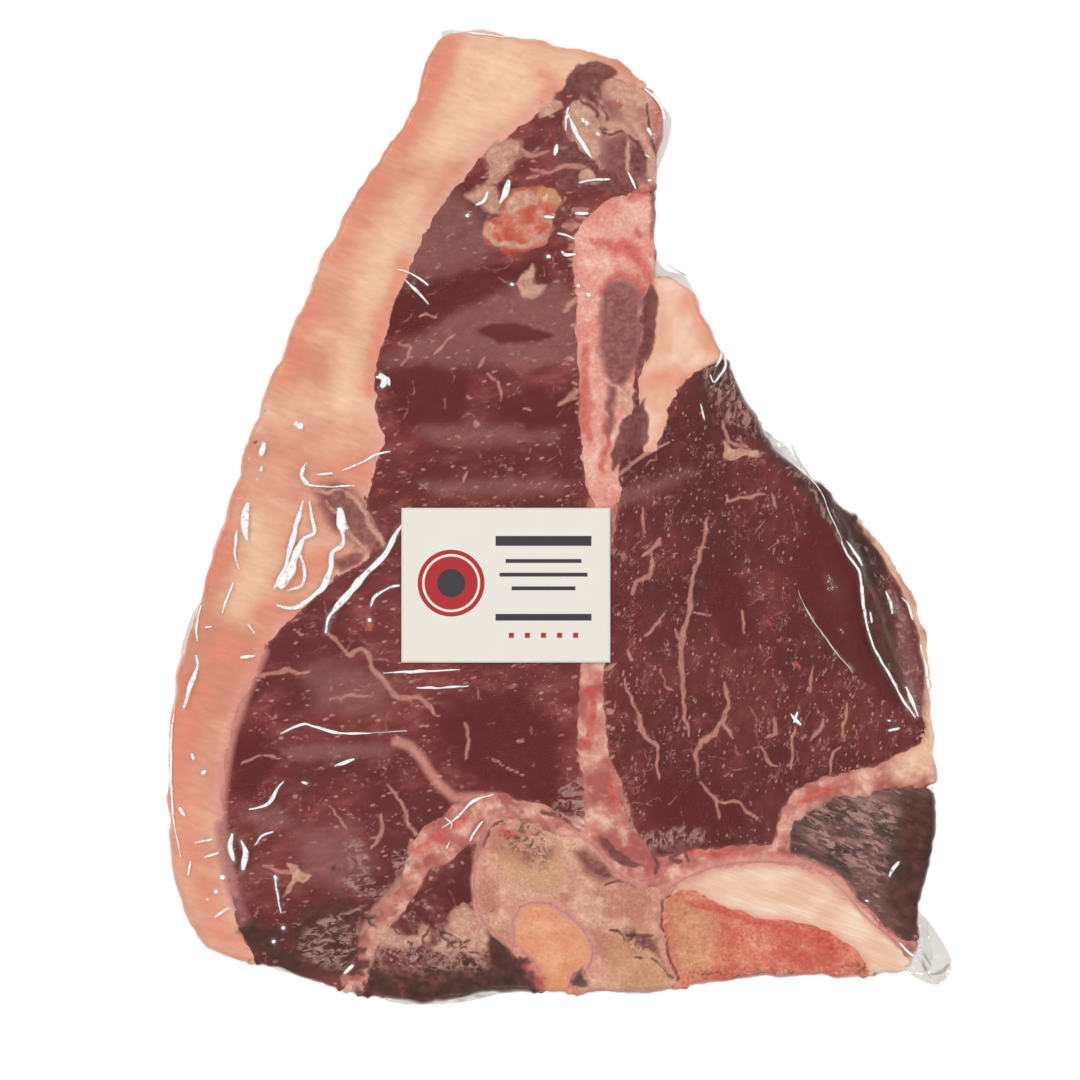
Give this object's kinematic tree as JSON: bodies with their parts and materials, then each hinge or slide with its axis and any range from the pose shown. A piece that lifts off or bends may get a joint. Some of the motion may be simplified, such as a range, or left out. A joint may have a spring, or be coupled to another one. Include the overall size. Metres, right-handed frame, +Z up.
{
  "type": "raw t-bone steak in a shrink bag",
  "caption": "Raw bone-in beef steak with loin, tenderloin, fat cap and sawn vertebra, shrink-packed in a clear film bag with a plain label.",
  "frame": {"origin": "middle of the footprint, on the surface that the steak lies on", "axes": "+Z up out of the cut face, +Y along the steak towards its thin tail end, +X from the fat cap to the tenderloin"},
  "size_m": [0.1984, 0.2476, 0.0328],
  "materials": {
    "lean": "moist dark red raw lean",
    "dark_lean": "browned, dried lean",
    "fat": "firm cream and peach fat",
    "seam_fat": "pink fat between muscles",
    "bone": "sawn spongy bone",
    "red_bone": "sawn bone with red marrow",
    "cartilage": "ivory disc cartilage",
    "film": "clear shrunk film",
    "label_paper": "off-white label paper"
  },
  "bodies": {
    "root": {"striploin": "lean", "tenderloin": "lean", "inner_muscle": "lean", "chain_muscle": "dark_lean", "tail_scraps": "seam_fat", "fat_cap": "fat", "kidney_fat": "fat", "fat_lump": "seam_fat", "seam_fat": "seam_fat", "vertebra_arch": "bone", "joint_process": "bone", "finger_bone": "bone", "vertebra_body": "red_bone", "disc_cartilage": "cartilage", "bag": "film", "label": "label_paper"}
  },
  "joints": []
}
